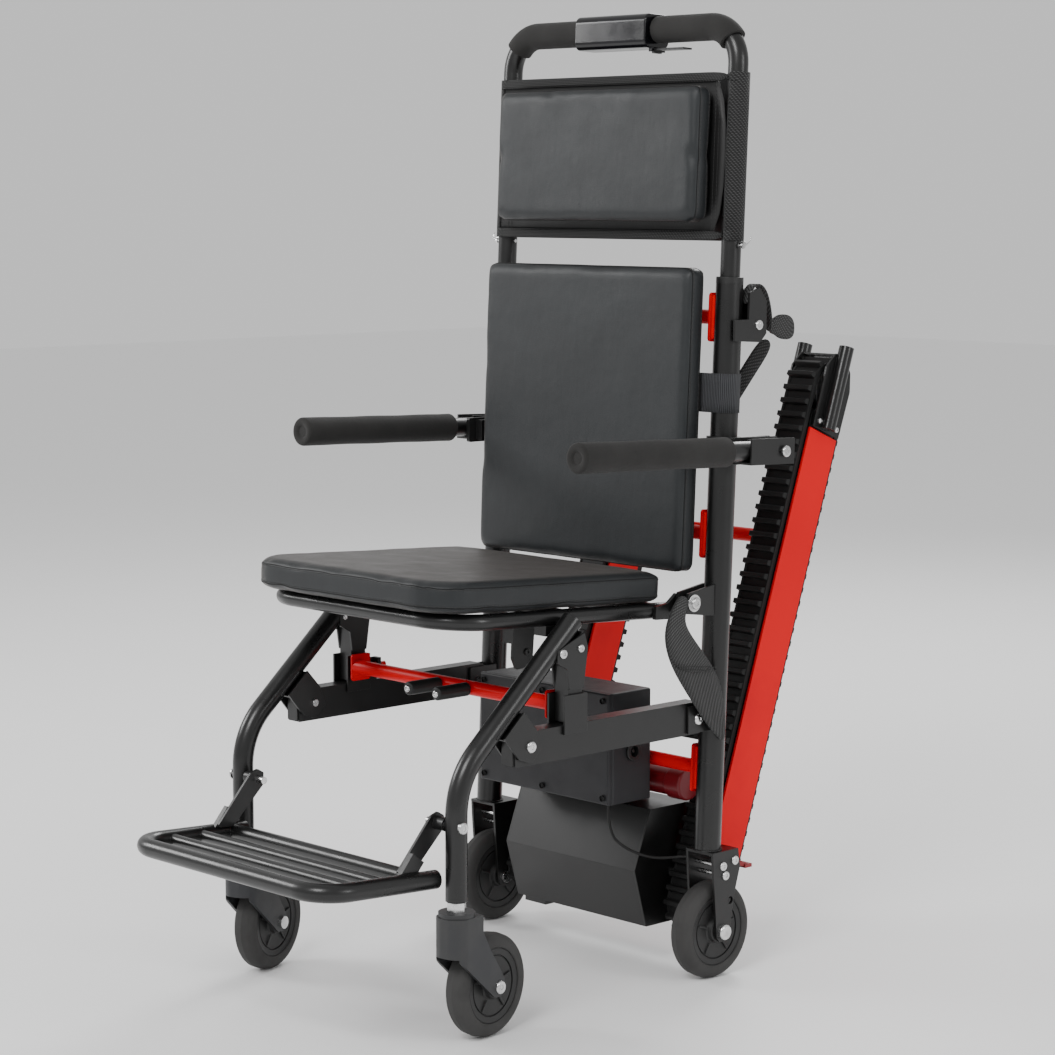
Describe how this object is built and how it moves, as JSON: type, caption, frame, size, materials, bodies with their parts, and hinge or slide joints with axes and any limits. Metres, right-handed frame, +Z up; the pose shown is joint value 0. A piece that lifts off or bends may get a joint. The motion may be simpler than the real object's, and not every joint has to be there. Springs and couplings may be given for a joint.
{
  "type": "stair chair",
  "caption": "Tracked stair chair: folding seat and front legs, sliding handle, fold-up footrest and armrests, castered wheels, hinged drive tracks.",
  "frame": {"origin": "on the floor under the middle of the chair", "axes": "+Z up, the occupant faces -Y, +X is the occupant's left, X is across the chair"},
  "size_m": [0.612, 1.0275, 1.3482],
  "materials": {
    "black_tube": "semi-gloss black powder coat",
    "black_steel": "satin black powder coat",
    "black_plastic": "black moulded plastic",
    "track_cap": "glossy black moulding",
    "track_core": "black",
    "red_paint": "gloss red powder coat",
    "dark_red": "dark red paint",
    "pedal_red": "red paint, worn",
    "zinc": "bright zinc plating",
    "battery_shell": "fine textured charcoal",
    "cells": "shrink-wrapped cell pack",
    "drive_sheet": "satin black sheet steel",
    "gearbox": "cast, unpainted",
    "cable": "black flexible sheath",
    "upholstery": "dark slate coated fabric, fine grain",
    "elastic": "ribbed elastic band",
    "webbing": "woven polyester webbing",
    "foam": "matte closed-cell foam",
    "gloss_housing": "glossy black moulding",
    "sleeve": "black coated cloth and open mesh",
    "caster_plastic": "dark grey glass-filled plastic",
    "tyre": "grey-black elastomer",
    "hub": "dark moulded hub",
    "roller": "machined",
    "belt": "ribbed black track belt"
  },
  "bodies": {
    "frame": {"upright_tubes": "black_tube", "upright_collars": "black_plastic", "tie_bars": "red_paint", "rear_forks": "black_steel", "frame_brackets": "black_steel", "frame_bolts": "zinc", "battery_case": "battery_shell", "battery_cells": "cells", "charge_socket": "black_plastic", "drive_cover": "drive_sheet", "drive_gearbox": "gearbox", "drive_motor": "dark_red", "power_cable": "cable", "backrest_cushion": "upholstery", "backrest_straps": "elastic", "lap_strap": "webbing", "chest_strap": "webbing"},
    "handle": {"handle_tube": "black_tube", "handle_grips": "foam", "control_housing": "gloss_housing", "headrest_panel": "sleeve", "headrest_cushion": "upholstery", "headrest_clips": "zinc"},
    "travel_lever": {"travel_lever": "black_plastic"},
    "rails": {"side_rails": "black_steel", "latch_cups": "black_steel"},
    "release": {"release_bar": "red_paint", "release_grips": "black_plastic"},
    "legs": {"leg_tubes": "black_tube", "leg_brackets": "black_steel", "leg_bolts": "zinc"},
    "footrest": {"footrest_frame": "black_tube", "footrest_arms": "black_steel"},
    "seat": {"seat_frame": "black_tube", "seat_cushion": "upholstery", "seat_hook": "black_steel"},
    "track": {"track_belts": "belt", "track_plates": "red_paint", "track_cores": "track_core", "track_caps": "track_cap"},
    "drive_rollers": {"drive_rollers": "roller"},
    "idlers": {"idler_rollers": "roller"},
    "caster_left": {"caster_fork_left": "caster_plastic", "caster_metal_left": "zinc"},
    "caster_wheel_left": {"caster_tyre_left": "tyre", "caster_hub_left": "hub"},
    "rear_wheel_left": {"rear_tyre_left": "tyre", "rear_hub_left": "hub"},
    "pedal_left": {"brake_pedal_left": "pedal_red"},
    "armrest_left": {"armrest_channel_left": "black_steel", "armrest_grip_left": "foam"},
    "caster_right": {"caster_fork_right": "caster_plastic", "caster_metal_right": "zinc"},
    "caster_wheel_right": {"caster_tyre_right": "tyre", "caster_hub_right": "hub"},
    "rear_wheel_right": {"rear_tyre_right": "tyre", "rear_hub_right": "hub"},
    "pedal_right": {"brake_pedal_right": "pedal_red"},
    "armrest_right": {"armrest_channel_right": "black_steel", "armrest_grip_right": "foam"}
  },
  "joints": [
    {"name": "rail_fold", "type": "hinge", "parent": "frame", "child": "rails", "pos_m": [0, 0.136, 0.376], "axis": [-1, 0, 0], "range_deg": [0, 28]},
    {"name": "leg_fold", "type": "hinge", "parent": "rails", "child": "legs", "pos_m": [0, -0.182, 0.38], "axis": [1, 0, 0], "range_deg": [0, 28]},
    {"name": "seat_fold", "type": "hinge", "parent": "frame", "child": "seat", "pos_m": [0, 0.13, 0.538], "axis": [-1, 0, 0], "range_deg": [0, 39.2]},
    {"name": "release_pull", "type": "slide", "parent": "rails", "child": "release", "axis": [0, -1, 0], "range_m": [0, 0.012], "stiffness_N_per_m": 600, "springref_m": -0.02},
    {"name": "footrest_fold", "type": "hinge", "parent": "legs", "child": "footrest", "pos_m": [0, -0.301, 0.29], "axis": [-1, 0, 0], "range_deg": [0, 90]},
    {"name": "handle_slide", "type": "slide", "parent": "frame", "child": "handle", "axis": [0, 0.0465, 0.9989], "range_m": [-0.04, 0.1]},
    {"name": "travel_lever_tilt", "type": "hinge", "parent": "handle", "child": "travel_lever", "pos_m": [0.069, 0.22474, 1.29759], "axis": [0, -1, 0], "range_deg": [0, 5], "stiffness_Nm_per_rad": 0.5, "springref_deg": -17.19},
    {"name": "caster_swivel_left", "type": "hinge", "parent": "legs", "child": "caster_left", "pos_m": [0.2225, -0.298, 0.18], "axis": [0, 0, 1], "continuous": true},
    {"name": "caster_roll_left", "type": "hinge", "parent": "caster_left", "child": "caster_wheel_left", "pos_m": [0.21443, -0.24056, 0.069], "axis": [0.9903, 0.1392, 0], "continuous": true},
    {"name": "rear_roll_left", "type": "hinge", "parent": "frame", "child": "rear_wheel_left", "pos_m": [0.224, 0.18, 0.069], "axis": [1, 0, 0], "continuous": true},
    {"name": "pedal_press_left", "type": "hinge", "parent": "frame", "child": "pedal_left", "pos_m": [0.224, 0.21, 0.16], "axis": [-1, 0, 0], "range_deg": [0, 20]},
    {"name": "armrest_flip_left", "type": "hinge", "parent": "frame", "child": "armrest_left", "pos_m": [0.281, 0.242, 0.745], "axis": [-1, 0, 0], "range_deg": [0, 90]},
    {"name": "caster_swivel_right", "type": "hinge", "parent": "legs", "child": "caster_right", "pos_m": [-0.2225, -0.298, 0.18], "axis": [0, 0, 1], "continuous": true},
    {"name": "caster_roll_right", "type": "hinge", "parent": "caster_right", "child": "caster_wheel_right", "pos_m": [-0.24042, -0.24284, 0.069], "axis": [0.9511, 0.309, 0], "continuous": true},
    {"name": "rear_roll_right", "type": "hinge", "parent": "frame", "child": "rear_wheel_right", "pos_m": [-0.224, 0.18, 0.069], "axis": [1, 0, 0], "continuous": true},
    {"name": "pedal_press_right", "type": "hinge", "parent": "frame", "child": "pedal_right", "pos_m": [-0.224, 0.21, 0.16], "axis": [-1, 0, 0], "range_deg": [0, 20]},
    {"name": "armrest_flip_right", "type": "hinge", "parent": "frame", "child": "armrest_right", "pos_m": [-0.281, 0.242, 0.745], "axis": [-1, 0, 0], "range_deg": [0, 90]},
    {"name": "track_fold", "type": "hinge", "parent": "frame", "child": "track", "pos_m": [0, 0.2185, 0.09], "axis": [-1, 0, 0], "range_deg": [0, 50]},
    {"name": "drive_roll", "type": "hinge", "parent": "track", "child": "drive_rollers", "pos_m": [0, 0.2185, 0.09], "axis": [1, 0, 0], "continuous": true},
    {"name": "idler_roll", "type": "hinge", "parent": "track", "child": "idlers", "pos_m": [0, 0.4663, 0.81376], "axis": [1, 0, 0], "continuous": true}
  ],
  "couplings": [
    {"joint": "leg_fold", "follows": "rail_fold", "ratio": 1},
    {"joint": "seat_fold", "follows": "rail_fold", "ratio": 1.4},
    {"joint": "idler_roll", "follows": "drive_roll", "ratio": 1}
  ]
}
